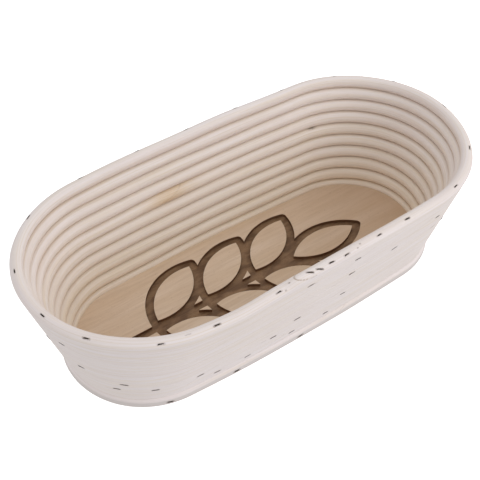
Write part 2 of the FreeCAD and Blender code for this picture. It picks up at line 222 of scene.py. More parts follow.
def round_the_wall(points):
    """Distance round the wall, and reach from the line of zero end radius, of some points."""
    x, y = np.abs(points[:, 0]), np.abs(points[:, 1])
    end_angle = np.arctan2(x - WALL.end_offset, y)
    side_angle = np.arctan2(x, y + WALL.centre_drop)
    on_side = end_angle < WALL.side_turn
    along = np.where(on_side, side_angle * (WALL.side_radius + MID_WALL_RADIUS),
                     WALL.side_run + (end_angle - WALL.side_turn) * MID_WALL_RADIUS)
    reach = np.where(on_side, np.hypot(x, y + WALL.centre_drop) - WALL.side_radius,
                     np.hypot(x - WALL.end_offset, y))
    along = np.where(points[:, 1] > 0, 2 * WALL.quarter - along, along)
    return np.where(points[:, 0] < 0, -along, along), reach


def wander(run, key, size, lengths):
    """A smooth random line round the wall that closes on itself.

    size is its usual height, and lengths are those of its shortest and longest waves.
    """
    rng = np.random.default_rng([SEED, key])
    shortest, longest = lengths
    waves = rng.integers(round(AROUND / longest), round(AROUND / shortest), WAVE_COUNT, endpoint=True)
    phases = rng.uniform(0, 2 * math.pi, WAVE_COUNT)
    angle = 2 * math.pi * np.asarray(run)[..., None] / AROUND * waves + phases
    return size * np.sin(angle).sum(axis=-1) / math.sqrt(WAVE_COUNT / 2)


# ---------------------------------------------------------------------------- staples in the wall

# Where the rim's staples sit on its round top: for each distance round, the angle up from
# straight out in degrees, and how far the crown is askew
RIM_SEAT = 79
RIM_SEATS = {
    -190: (91, 0.0), -157: (88, 0.05), -132: (72, -0.05), -99: (58, 0.0), -72: (76, 0.05),
    -34: (74, -0.05), -14: (84, 0.45), -8: (69, 0.45), 0: (72, 0.05), 10: (66, -0.08),
    33: (77, 0.0), 54: (79, 0.06),
}
STAPLE_TILT = 0.07
STAPLE_RAKE = math.radians(20)   # how far a wall staple's leg leans in from the wall's own slope
CROWN_SLACK = 0.02 * MM          # points this near a staple's outermost one are its crown's face


def islands(mesh):
    """The corner points of each separate solid in a mesh."""
    points = np.array([vertex.co for vertex in mesh.vertices])
    edges = np.array([edge.vertices[:] for edge in mesh.edges])
    same, label = np.unique(np.round(points, 6), axis=0, return_inverse=True)
    label = label.reshape(-1)
    edges = label[edges]
    group = np.arange(len(same))
    while True:
        lowest = group.copy()
        np.minimum.at(lowest, edges[:, 0], group[edges[:, 1]])
        np.minimum.at(lowest, edges[:, 1], group[edges[:, 0]])
        if (lowest == group).all():
            break
        group = lowest
    return [same[group == number] for number in np.unique(group)]


def facing(number):
    """How far above level a row's crowns face: the rim's up the wall, the base's straight out."""
    if number == RINGS:
        return 0.0
    return math.pi / 2 - WALL.slope if number == 1 else -WALL.slope


def crown_places(name, turn):
    """Where each staple of a row is: distance round the wall, reach and height of its crown."""
    places = []
    for points in islands(bpy.data.objects[name].data):
        run, reach = round_the_wall(points)
        depth = reach * math.cos(turn) + points[:, 2] * math.sin(turn)
        crown = depth > depth.max() - CROWN_SLACK
        middle = run[crown][0] + run_between(run[crown], run[crown][0]).mean()
        places.append((middle, reach[crown].mean(), points[crown, 2].mean()))
    return sorted(places)


def make_crown(run, reach, height, turn):
    """A staple's crown: the middle of its outer face, and its own three directions."""
    foot, away = (pair[0] for pair in wall_line(np.array([run])))
    away = np.append(away, 0.0)
    rise = np.array([0.0, 0.0, 1.0])
    out = away * math.cos(turn) + rise * math.sin(turn)
    up = -away * math.sin(turn) + rise * math.cos(turn)
    middle = np.append(foot, 0.0) + away * reach + rise * height
    return SimpleNamespace(run=run, middle=middle, out=out, up=up, along=np.cross(out, up))


def rim_crown(run, seat, tilt=0.0):
    """A crown on the rim's round top, seated at an angle up from straight out."""
    centre, radius = rim_round()
    place = np.array([run])
    crown = make_crown(run, 0.0, 0.0, seat - WALL.slope)
    rise = (radius + rim_top(place)) * math.sin(seat) + ring_lift(1, place)
    out = np.array([centre + radius * math.cos(seat)])
    crown.middle = wall_points(place, out, (RINGS - 1) * WALL.cane + rise)[0]
    crown.rake = seat
    crown.tilt = tilt
    crown.wire = RIM_WIRE
    return crown


def read_row(number):
    """The crowns of the staples that a ring's own row holds, moved with the ring's wander."""
    rng = np.random.default_rng([SEED, TILT_KEY + number])
    crowns = []
    for run, reach, height in crown_places(ROW_NAMES[number - 1], facing(number)):
        tilt = rng.normal(0, STAPLE_TILT)
        if number == 1:
            seat, tilt = RIM_SEATS.get(round(run / MM), (RIM_SEAT, tilt))
            crowns.append(rim_crown(run, math.radians(seat), tilt))
            continue
        place = np.array([run])
        bow = near_bow(place, np.array([(RINGS - number) * WALL.cane]))[0]
        crown = make_crown(run, reach + bow, height, facing(number))
        crown.middle = crown.middle + crown.up * ring_lift(number, place)[0]
        crown.middle = crown.middle + crown.out * (face_out(number, place)[0] - WALL.face)
        crown.rake = math.pi / 2 if number == RINGS else STAPLE_RAKE
        crown.tilt = tilt
        crown.wire = WALL_WIRE
        crowns.append(crown)
    return crowns


# -------------------------------------------------------------------------- the shape of each cane

BEAD_POINTS = 19
FACE_POINTS = 26
FOOT_FACE_POINTS = 14
FOOT_CORNER_POINTS = 9
EDGE_ROUND = 0.14 * MM           # at a cane's outer corners, left where the sanding stopped short
EDGE_LEAST = 0.02 * MM


def joint_up(number, run):
    """How far up the wall the joint under a ring is."""
    share = max(0.0, 1 - number / SAG_DEPTH)
    level = (RINGS - number - 0.5) * WALL.cane
    return level + wander(run, number, JOINT_WANDER, JOINT_WAVES) + share * eased(run, NEAR_SAG)


def ring_lift(number, run):
    """How far a ring's middle strays up the wall from its drawn place."""
    if number == RINGS:
        return np.zeros(run.shape)
    below = joint_up(number, run) + WALL.cane / 2
    middle = below if number == 1 else (joint_up(number - 1, run) + joint_up(number, run)) / 2
    return middle - (RINGS - number) * WALL.cane


def rim_top(run):
    """How much the rim's top strays from being level with its lower side."""
    return (eased(run, NEAR_STEP) - (1 - 1 / SAG_DEPTH) * eased(run, NEAR_SAG)
            + wander(run, RIM_KEY, RIM_WANDER, RIM_WAVES))


def face_out(number, run):
    """How far out the sanded outer face is: one surface, with a trace of each cane in it."""
    return (WALL.face + wander(run, FACE_KEY, FACE_WANDER, FACE_WAVES)
            + wander(run, FACE_KEY + number, TRACE_WANDER, TRACE_WAVES))


def bead_round(number, run, first, last):
    """The inner round between two heights on it, from -1 at the joint below to 1 above."""
    half = WALL.cane / 2
    centre = (half**2 - BEAD_DEPTH**2) / (2 * BEAD_DEPTH)
    radius = centre + BEAD_DEPTH
    widest = math.asin(half / radius)
    turn = np.linspace(first, last, round(BEAD_POINTS * (last - first) / 2) + 1) * widest
    depth = 1 + wander(run, BEAD_KEY + number, BEAD_WANDER, BEAD_WAVES) / BEAD_DEPTH
    out = depth[:, None] * (centre - radius * np.cos(turn))
    height = np.broadcast_to(radius * np.sin(turn) / half, out.shape)
    return out, height


def outer_face(number, run, over, under):
    """The flat outer face from its upper corner to its lower one, each just broken."""
    face = face_out(number, run)[:, None]
    uneven = 1 + wander(run, EDGE_KEY + number, EDGE_WANDER, EDGE_WAVES)
    edge = (EDGE_ROUND * uneven).clip(EDGE_LEAST)[:, None]
    down = np.linspace(0, 1, FACE_POINTS)
    straight = (over[:, None] - edge) * (1 - down) + (under[:, None] + edge) * down
    out = np.hstack([face - edge, np.broadcast_to(face, straight.shape), face - edge])
    up = np.hstack([over[:, None], straight, under[:, None]])
    return out, up


def wall_section(number, run):
    """A cane in the wall: rounded inside, flat above, below and outside."""
    over = joint_up(number - 1, run) - CANE_GAP
    under = joint_up(number, run) + CANE_GAP
    inner_out, height = bead_round(number, run, -1, 1)
    inner_up = ((over + under) / 2)[:, None] + height * ((over - under) / 2)[:, None]
    face, face_up = outer_face(number, run, over, under)
    return np.hstack([inner_out, face]), np.hstack([inner_up, face_up])


def rim_round():
    """Centre, through the wall, and radius of the rim's round top."""
    centre = (WALL.face**2 + RIM_EDGE**2 - BEAD_DEPTH**2) / (2 * (WALL.face + BEAD_DEPTH))
    return centre, centre + BEAD_DEPTH


def rim_section(number, run):
    """The top cane: rounded inside and over the top, flat below and outside."""
    under = joint_up(number, run) + CANE_GAP
    half = WALL.cane / 2
    middle = under - CANE_GAP + half
    inner_out, height = bead_round(number, run, -1, 0)
    inner_up = middle[:, None] + height * half
    centre, radius = rim_round()
    start = math.atan2(RIM_EDGE, WALL.face - centre)
    turn = np.linspace(math.pi, start, BEAD_POINTS)[1:-1]
    stretch = 1 + rim_top(run) / radius
    crown = np.broadcast_to(centre + radius * np.cos(turn), (len(run), len(turn)))
    crown_up = middle[:, None] + stretch[:, None] * radius * np.sin(turn)
    face, face_up = outer_face(number, run, middle + stretch * RIM_EDGE, under)
    return np.hstack([inner_out, crown, face[:, 1:]]), np.hstack([inner_up, crown_up, face_up[:, 1:]])


def arc(centre, radius, start, end, count):
    """Points along an arc, from one angle to another."""
    turn = np.linspace(start, end, count)
    return np.column_stack([centre[0] + radius * np.cos(turn), centre[1] + radius * np.sin(turn)])


def foot_section(number, run):
    """The lowest cane: rounded and rebated for the board inside, upright and rounded outside."""
    half = WALL.cane / 2
    bottom = -WALL.foot_height
    rebate = WALL.board_edge - WALL.foot_radius
    slope = WALL.slope
    top_inner = np.array([half * math.sin(slope), half * math.cos(slope)])
    level = WALL.board_top - WALL.foot_height
    rise = top_inner[1] - level
    centre = (top_inner[0]**2 + rise**2 - rebate**2) / (2 * (top_inner[0] - rebate))
    round_end = math.atan2(rise, top_inner[0] - centre)
    top_outer = top_inner + WALL.face * np.array([math.cos(slope), -math.sin(slope)])
    shoulder = np.array([WALL.foot_reach, FOOT_SHOULDER])
    corner = (WALL.foot_reach - FOOT_CORNER, bottom + FOOT_CORNER)
    part = np.linspace(0, 1, FOOT_FACE_POINTS)[:, None]
    outline = np.vstack([
        arc((centre, level), centre - rebate, math.pi, round_end, BEAD_POINTS),
        top_outer + part * (shoulder - top_outer),
        shoulder + part[1:] * (np.array([WALL.foot_reach, corner[1]]) - shoulder),
        arc(corner, FOOT_CORNER, 0, -math.pi / 2, FOOT_CORNER_POINTS)[1:],
        [(rebate, bottom)],
    ])
    share = ((outline[:, 1] + half) / WALL.cane).clip(0, 1)
    lift = wander(run, RINGS - 1, JOINT_WANDER, JOINT_WAVES)
    bulge = wander(run, FACE_KEY, FACE_WANDER, FACE_WAVES)
    reach = outline[:, 0] + bulge[:, None] * (outline[:, 0] > half)
    out = reach * math.cos(slope) - outline[:, 1] * math.sin(slope)
    up = reach * math.sin(slope) + outline[:, 1] * math.cos(slope)
    return out, up + lift[:, None] * share


# ------------------------------------------------------------------- marks on the canes' surfaces

STATION_GAP = 1.0 * MM           # between the sections of a ring
CLOSE_GAP = 0.4 * MM             # and where there is something small to show
CLOSE_REACH = 5.0 * MM           # on each side of a staple, where the sections stand close
LEAST_GAP = 0.7                  # of the close gap, under which a section is left out
STAIN_REACH = 0.22 * MM
STAIN_SHARE = (0.35, 1.0)        # how dark a staple's stain is, from the faintest to the darkest
GHOST_REACH = 0.38 * MM
DENT_DEPTH = 0.06 * MM
DENT_REACH = 0.8 * MM
DENT_SHARE = (0.3, 1.2)          # how deep a staple's dent is, as shares of that depth
SEAM_WIDTH = 0.20 * MM
SEAM_DEPTH = 0.14 * MM
SEAM_FADE = 1.0 * MM             # over which the rim's scarf closes at its tight end
SEAM_SPAN = 3.0 * MM             # beyond a scarf's ends where the ring's sections still stand close
SEAM_SHARE = 1 / 3               # how far the other rings' scarfs open, as a share of the rim's
MARK_SPAN = 2.0 * MM             # how deep into the cane a staple's mark can reach
GHOST_SPAN = 3.0 * MM            # on each side of a ghost, where the sections stand close
PATCH_REACH = 16 * MM

# Staples sanded almost away: ring, distance round and rise above the cane's middle in
# millimetres, half the mark's length, and how dark it is
GHOSTS = (
    (2, -8.6, 0.0, 0.8, 0.4), (7, -13.5, 1.8, 1.2, 0.35), (8, -33, 2.2, 1.4, 0.35),
    (8, -132, -0.6, 2.2, 0.25), (9, -47, 3.0, 1.0, 0.3), (6, -31, 0.4, 0.7, 0.2),
    (5, 29, -1.0, 1.4, 0.25), (3, 47, 1.2, 1.1, 0.25), (10, 2.2, -2.0, 1.2, 0.4),
    (4, 190, 0.8, 1.5, 0.4), (6, 252, 0.2, 1.2, 0.4), (8, 402, 1.0, 1.6, 0.35),
    (3, 430, 0.5, 1.4, 0.4), (9, -210, 0.8, 1.5, 0.35),
)
# The same on the rim's round top: distance round, angle up from straight out, half the mark's
# length, and how dark it is
RIM_GHOSTS = (
    (20, 93, 0.3, 0.9), (17.5, 69, 0.3, 0.8), (-26.5, 96, 0.3, 0.9), (-30, 57, 0.3, 0.8),
    (-86.5, 90, 1.4, 0.5), (-12.5, 35, 1.8, 0.45),
)
GRAIN_STEP = 0.1                 # keeps each cane's grain apart from its neighbour's
SKIN_EDGE = (-1.0 * MM, 1.5 * MM)   # how far out the cane keeps its skin, which yellows
SKIN_TOP = 0.15                  # how much of that there is at the rim, where the foot has 1
SKIN_SHARE = (0.85, 1.15)        # and how much it differs from cane to cane
JOINT_SHADE = 0.7 * MM           # how far the painted shade reaches out of the joint between canes
BACK_SPOT = 87 * MM              # along the basket, on the joint under ring 4
SPOT_RING = 4
SPOT_WIDTH = 2.6 * MM
SPOT_HEIGHT = 0.5 * MM
SPOT_DARK = 0.8


def seam_place(number):
    """Where a ring's scarf is, and which side of the basket: +1 the back, -1 the front."""
    if number == 1:
        return RIM_SEAM, RIM_SEAM_LENGTH, -1
    side = 1 if number == BACK_SEAM_RING else -1
    return SEAM_START + SEAM_STEP * (number % SEAM_CYCLE), SEAM_LENGTH, side


def run_at(along, side):
    """Distance round the wall of a place along the front or back."""
    return along if side < 0 else 2 * WALL.quarter - along


def ring_stations(number, crowns):
    """Distances round at which a ring has a section, closer where there is something small."""
    place, length, side = seam_place(number)
    seam = run_at(place, side)
    close = [crown.run + np.arange(-CLOSE_REACH, CLOSE_REACH, CLOSE_GAP) for crown in crowns]
    ghosts = [run for ring, run, *_ in GHOSTS if ring == number]
    ghosts += [run for run, *_ in RIM_GHOSTS if number == 1]
    close += [run * MM + np.arange(-GHOST_SPAN, GHOST_SPAN, CLOSE_GAP) for run in ghosts]
    span = abs(length) / 2 + SEAM_SPAN
    close.append(seam + np.arange(-span, span, CLOSE_GAP))
    even = np.arange(0, AROUND - STATION_GAP / 2, STATION_GAP)
    every = np.sort(np.concatenate([even, *close]) % AROUND)
    kept = [every[0]]
    for station in every[1:]:
        if station - kept[-1] > CLOSE_GAP * LEAST_GAP:
            kept.append(station)
    return np.array(kept)


def near_bar(points, crown, half_length):
    """Distance from points to a short bar that lies along a crown."""
    away = points - crown.middle
    along = away @ crown.along
    across = away @ crown.up - crown.tilt * along.clip(-half_length, half_length)
    return np.hypot((np.abs(along) - half_length).clip(0), across)


def mark_staples(points, crowns, rng):
    """Press the cane in a little round each staple, and stain it."""
    stain = np.zeros(points.shape[:2])
    for crown in crowns:
        distance = near_bar(points, crown, STAPLE_WIDTH / 2 - WIRE / 2)
        inside = np.abs((points - crown.middle) @ crown.out) < MARK_SPAN
        dent = DENT_DEPTH * rng.uniform(*DENT_SHARE) * np.exp(-(distance / DENT_REACH)**2) * inside
        points -= dent[..., None] * crown.out
        strength = rng.uniform(*STAIN_SHARE) * inside
        stain = np.maximum(stain, strength * np.exp(-(distance / (crown.wire / 2 + STAIN_REACH))**2))
    return stain


def mark_ghosts(points, number):
    """Stains where staples were sanded almost away."""
    ghosts = []
    for ring, run, rise, half_length, strength in GHOSTS:
        if ring == number:
            place = np.array([run * MM])
            up = (RINGS - number) * WALL.cane + rise * MM + ring_lift(number, place)
            crown = make_crown(run * MM, 0.0, 0.0, -WALL.slope)
            crown.middle = wall_points(place, np.array([WALL.face]), up)[0]
            crown.tilt = 0.0
            ghosts.append((crown, half_length, strength))
    if number == 1:
        ghosts += [(rim_crown(run * MM, math.radians(seat)), half_length, strength)
                   for run, seat, half_length, strength in RIM_GHOSTS]
    stain = np.zeros(points.shape[:2])
    for crown, half_length, strength in ghosts:
        distance = near_bar(points, crown, half_length * MM)
        inside = np.abs((points - crown.middle) @ crown.out) < MARK_SPAN
        stain = np.maximum(stain, strength * inside * np.exp(-(distance / GHOST_REACH)**2))
    return stain


def mark_seam(points, number, out):
    """Open the scarf by a hair on every side of the cane, and return where it and its patch are."""
    place, length, side = seam_place(number)
    up = (RINGS - number) * WALL.cane + ring_lift(number, np.array([run_at(place, side)]))[0]
    level = WALL.foot_height + up * math.cos(WALL.slope)
    lean = length / WALL.cane
    across = (points[..., 0] - place - (points[..., 2] - level) * lean) / math.hypot(1, lean)
    same_side = points[..., 1] * side > 0
    seam = np.exp(-(across / SEAM_WIDTH)**2) * same_side
    if number == 1:
        seam = seam / (1 + np.exp((points[..., 0] - RIM_SEAM_TIGHT) / SEAM_FADE))
    centre = points.mean(axis=1, keepdims=True)
    inward = centre - points
    inward /= np.linalg.norm(inward, axis=-1, keepdims=True)
    share = 1 if number == 1 else SEAM_SHARE
    points += inward * (SEAM_DEPTH * share * seam)[..., None]
    patch = np.exp(-((points[..., 0] - place) / PATCH_REACH)**2) * same_side
    return seam * share, patch * (number == BACK_SEAM_RING) * (out < 0)


def paint_joint_shade(number, run, out, up):
    """How near each point of the inner round is to a neighbouring cane, for the shade painted along the
    joint.
    """
    below = up - joint_up(number, run)[:, None]
    above = joint_up(number - 1, run)[:, None] - up
    nearest = np.minimum(below, above) if number > 1 else below
    return np.exp(-(nearest / JOINT_SHADE)**2) * (out < 0)


def mark_spot(points, number):
    """A knot's dark end that shows in the joint between two canes on the back wall."""
    if number not in (SPOT_RING, SPOT_RING + 1):
        return np.zeros(points.shape[:2])
    run = run_at(BACK_SPOT, 1)
    up = joint_up(SPOT_RING, np.array([run]))
    spot = wall_points(np.array([run]), np.array([0.0]), up)[0]
    across, rise = (points - spot)[..., 0] / SPOT_WIDTH, (points - spot)[..., 2] / SPOT_HEIGHT
    return SPOT_DARK * np.exp(-across**2 - rise**2)


def grid_mesh(name, points):
    """A mesh over a grid of points that closes on itself both ways."""
    stations, across = points.shape[:2]
    first = np.arange(stations)[:, None] * across
    after = (np.arange(stations)[:, None] + 1) % stations * across
    here = np.arange(across)[None, :]
    following = (here + 1) % across
    faces = np.stack([first + here, after + here, after + following, first + following], axis=-1)
    mesh = bpy.data.meshes.new(name)
    mesh.from_pydata(points.reshape(-1, 3).tolist(), [], faces.reshape(-1, 4).tolist())
    return mesh


def store(mesh, name, kind, values):
    """Keep numbers on a mesh's points for its material."""
    layer = mesh.attributes.new(name, kind, "POINT")
    field = "value" if kind == "FLOAT" else "vector"
    layer.data.foreach_set(field, np.ascontiguousarray(values, dtype=np.float32).reshape(-1))


def show(mesh, name, node, material, sharp=50):
    """Put a piece in the scene in place of a CAD node."""
    mesh.polygons.foreach_set("use_smooth", [True] * len(mesh.polygons))
    mesh.set_sharp_from_angle(angle=math.radians(sharp))
    mesh.materials.append(material)
    piece = bpy.data.objects.new(name, mesh)
    bpy.context.scene.collection.objects.link(piece)
    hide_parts(node)
    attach(piece, "root")
    return piece


def make_ring(number, material):
    """One cane ring, with its staple marks, scarf and grain."""
    node = RING_NAMES[number - 1]
    crowns = read_row(number)
    rng = np.random.default_rng([SEED, RING_KEY + number])
    run = ring_stations(number, crowns)
    section = {1: rim_section, RINGS: foot_section}.get(number, wall_section)
    out, up = section(number, run)
    points = wall_points(np.broadcast_to(run[:, None], out.shape), out, up)
    outline = np.linalg.norm(np.diff(points[0], axis=0, prepend=points[0, :1]), axis=1).cumsum()

    stain = np.maximum(mark_staples(points, crowns, rng), mark_ghosts(points, number))
    seam, patch = mark_seam(points, number, out)
    spot = mark_spot(points, number)
    angle = 2 * math.pi * run / AROUND
    circle = AROUND / (2 * math.pi)
    grain = np.empty(points.shape)
    grain[..., 0] = (circle * np.cos(angle))[:, None]
    grain[..., 1] = (circle * np.sin(angle))[:, None]
    grain[..., 2] = outline + number * GRAIN_STEP

    mesh = grid_mesh(node + "_cane", points)
    store(mesh, "grain", "FLOAT_VECTOR", grain)
    store(mesh, "stain", "FLOAT", np.maximum(stain, spot))
    store(mesh, "seam", "FLOAT", seam)
    store(mesh, "patch", "FLOAT", patch)
    skin = 1 - ((out - SKIN_EDGE[0]) / (SKIN_EDGE[1] - SKIN_EDGE[0])).clip(0, 1)
    depth = SKIN_TOP + (1 - SKIN_TOP) * (number - 1) / (RINGS - 1)
    store(mesh, "skin", "FLOAT", skin * depth * rng.uniform(*SKIN_SHARE))
    # where shade is painted along the joints between canes
    store(mesh, "painted_joint_shade", "FLOAT", paint_joint_shade(number, run, out, up))
    return show(mesh, node + "_cane", node, material)


# ------------------------------------------------------------------------------------ the staples

CROWN_BEND = 0.9 * MM            # at the middle of the wire
BEND_POINTS = 6
CROWN_POINTS = 9
WIRE_POINTS = 16
WIRE_SQUARE = 0.45               # 1 would be round wire, 0 square
CROWN_DIP = 0.018                # how far a crown slopes into the cane
CROWN_PROUD = (0.03, 0.14)       # in millimetres, how far its face stands out of the cane
WIRE_WAVE = 0.04 * MM


def staple_line(leg):
    """The middle of a staple's wire, as (along, into the cane) pairs from one leg to the other."""
    half = STAPLE_WIDTH / 2 - WIRE / 2
    bend = half - CROWN_BEND
    left = arc((-bend, CROWN_BEND), CROWN_BEND, -math.pi, -math.pi / 2, BEND_POINTS)
    right = arc((bend, CROWN_BEND), CROWN_BEND, -math.pi / 2, 0, BEND_POINTS)
    crown = [(along, 0) for along in np.linspace(-bend, bend, CROWN_POINTS)[1:-1]]
    return np.vstack([[(-half, leg)], left, crown, right, [(half, leg)]])


def bend_staple(crown, line, rng):
    """The wire's surface for one staple, a little askew and more or less flush with the cane."""
    into = -crown.out * math.sin(crown.rake) - crown.up * math.cos(crown.rake)
    dip = rng.normal(0, CROWN_DIP)
    proud = rng.uniform(*CROWN_PROUD) * MM
    wave = WIRE_WAVE * np.sin(np.linspace(0, 2 * math.pi, len(line)) + rng.uniform(0, 6))
    ahead = np.gradient(line, axis=0)
    ahead /= np.linalg.norm(ahead, axis=1, keepdims=True)
    turn = np.linspace(0, 2 * math.pi, WIRE_POINTS, endpoint=False)
    wide, high = (np.sign(side) * np.abs(side)**WIRE_SQUARE for side in (np.cos(turn), np.sin(turn)))
    beside = (ahead[:, 1, None] * crown.along - ahead[:, 0, None] * into)[:, None]
    over = np.cross(crown.along, into)
    middle = (crown.middle + line[:, :1] * (crown.along + crown.tilt * crown.up + dip * crown.out)
              + line[:, 1:] * into + (proud - WIRE / 2 + wave)[:, None] * crown.out)
    return (middle[:, None] + WIRE / 2 * wide[:, None] * beside
            + crown.wire / 2 * high[:, None] * over)


def make_row(number, material):
    """The staples of one ring, as separate closed wires."""
    node = ROW_NAMES[number - 1]
    rng = np.random.default_rng([SEED, WIRE_KEY + number])
    line = staple_line({1: RIM_LEG, RINGS: BASE_LEG}.get(number, WALL_LEG))
    points, faces = [], []
    for crown in read_row(number):
        start = len(points)
        points.extend(bend_staple(crown, line, rng).reshape(-1, 3).tolist())
        for step in range(len(line) - 1):
            below = start + step * WIRE_POINTS
            for corner in range(WIRE_POINTS):
                following = (corner + 1) % WIRE_POINTS
                faces.append((below + corner, below + following,
                              below + following + WIRE_POINTS, below + corner + WIRE_POINTS))
        last = start + (len(line) - 1) * WIRE_POINTS
        faces.append(tuple(start + corner for corner in reversed(range(WIRE_POINTS))))
        faces.append(tuple(last + corner for corner in range(WIRE_POINTS)))
    mesh = bpy.data.meshes.new(node + "_wire")
    mesh.from_pydata(points, [], faces)
    return show(mesh, node + "_wire", node, material, sharp=80)


# -------------------------------------------------------------------------------------- materials

# Colours as displayed, 0 to 255
CANE_PALE = (240, 231, 231)
CANE_WARM = (236, 223, 211)
CANE_PINK = (235, 223, 221)
CANE_SKIN = (255, 251, 236)      # laid over the others
CANE_VEIN = (219, 202, 180)
# painted shade in the joints between canes
CANE_JOINT_SHADE = (196, 170, 134)
CANE_FIBRE = (205, 188, 168)
CANE_PORE = (190, 165, 140)
CANE_PATCH = (221, 190, 148)
CANE_SEAM = (150, 122, 92)
CANE_STAIN = (92, 66, 46)
# painted shade on the foot's upright face
CANE_FOOT_SHADE = (208, 200, 197)
BOARD_PALE = (229, 207, 184)
# painted shade of the right end wall on the board
BOARD_WARM = (218, 192, 163)
BOARD_SHADE = (196, 164, 134)
BOARD_GRAIN = (192, 162, 130)
BOARD_FLECK = (150, 118, 92)
CARVED_WALL = (106, 74, 48)
CARVED_DARK = (94, 66, 43)
CARVED_BROWN = (124, 93, 63)
CARVED_PALE = (156, 123, 90)
WIRE_BLACK = (40, 33, 29)
WIRE_RUST = (70, 54, 42)
WIRE_BRIGHT = (128, 112, 96)
WOOD_RELIEF = 0.05 * MM
WIRE_RELIEF = 0.04 * MM
SCORCH_FADE = (0.30 * MM, 0.12 * MM)     # depths in the board between which the scorching fades
CARVED_FLOOR = (2.3 * MM, 2.0 * MM)      # and those between which the carving's floor begins
BOARD_SHADE_SPAN = (0.0, 0.12, 0.6)   # from and to where along the board the painted shade darkens it towards the right end, and how much


def paint(red, green, blue):
    """A display colour, 0 to 255, as the linear colour that a shader takes."""
    display = np.array([red, green, blue]) / 255
    linear = np.where(display <= 0.04045, display / 12.92, ((display + 0.055) / 1.055)**2.4)
    return (*linear.tolist(), 1.0)


def put(tree, kind, inputs, **settings):
    """A new node. inputs maps its sockets to values, or to the sockets that feed them."""
    node = tree.nodes.new(kind)
    for name, value in settings.items():
        setattr(node, name, value)
    for socket, value in inputs.items():
        if isinstance(value, bpy.types.NodeSocket):
            tree.links.new(value, node.inputs[socket])
        else:
            node.inputs[socket].default_value = value
    return node


def attribute(tree, name, output):
    """Numbers kept on the mesh's points."""
    return put(tree, "ShaderNodeAttribute", {}, attribute_name=name).outputs[output]


def stretched(tree, place, sizes, shift=(0, 0, 0)):
    """A place divided by a feature's size along each axis, which is given in millimetres."""
    scale = tuple(1 / (size * MM) for size in sizes)
    node = put(tree, "ShaderNodeMapping", {"Vector": place, "Scale": scale, "Location": shift})
    return node.outputs[0]


def noise(tree, place, detail=3.0, roughness=0.5, distortion=0.0):
    """Cloudy noise about one unit across, from 0 to 1."""
    sockets = {"Vector": place, "Scale": 1.0, "Detail": detail, "Roughness": roughness,
               "Distortion": distortion}
    return put(tree, "ShaderNodeTexNoise", sockets).outputs[0]


def between(tree, value, low, high, top=1.0, bottom=0.0):
    """A value's place between two others, from bottom to top, and no further."""
    sockets = {0: value, 1: low, 2: high, 3: bottom, 4: top}
    return put(tree, "ShaderNodeMapRange", sockets, clamp=True).outputs[0]


def maths(tree, operation, first, second=0.0):
    """Arithmetic on two values."""
    return put(tree, "ShaderNodeMath", {0: first, 1: second}, operation=operation).outputs[0]


def mix(tree, factor, first, second, kind="MIX"):
    """One colour laid over another."""
    node = put(tree, "ShaderNodeMix", {}, data_type="RGBA", blend_type=kind)
    for number, value in ((0, factor), (6, first), (7, second)):
        if isinstance(value, bpy.types.NodeSocket):
            tree.links.new(value, node.inputs[number])
        else:
            node.inputs[number].default_value = value
    return node.outputs[2]


def finish_material(tree, colour, roughness, height, relief, metallic=0.0):
    """The surface itself: colour, gloss, and relief in metres."""
    bump = put(tree, "ShaderNodeBump", {"Height": height, "Distance": relief, "Strength": 1.0})
    shader = put(tree, "ShaderNodeBsdfPrincipled", {"Base Color": colour, "Roughness": roughness,
                                                    "Normal": bump.outputs[0], "Metallic": metallic})
    put(tree, "ShaderNodeOutputMaterial", {"Surface": shader.outputs[0]})


def empty_material(name):
    """A material with no nodes yet, and its node tree."""
    material = bpy.data.materials.new(name)
    material.use_nodes = True
    material.node_tree.nodes.clear()
    return material, material.node_tree


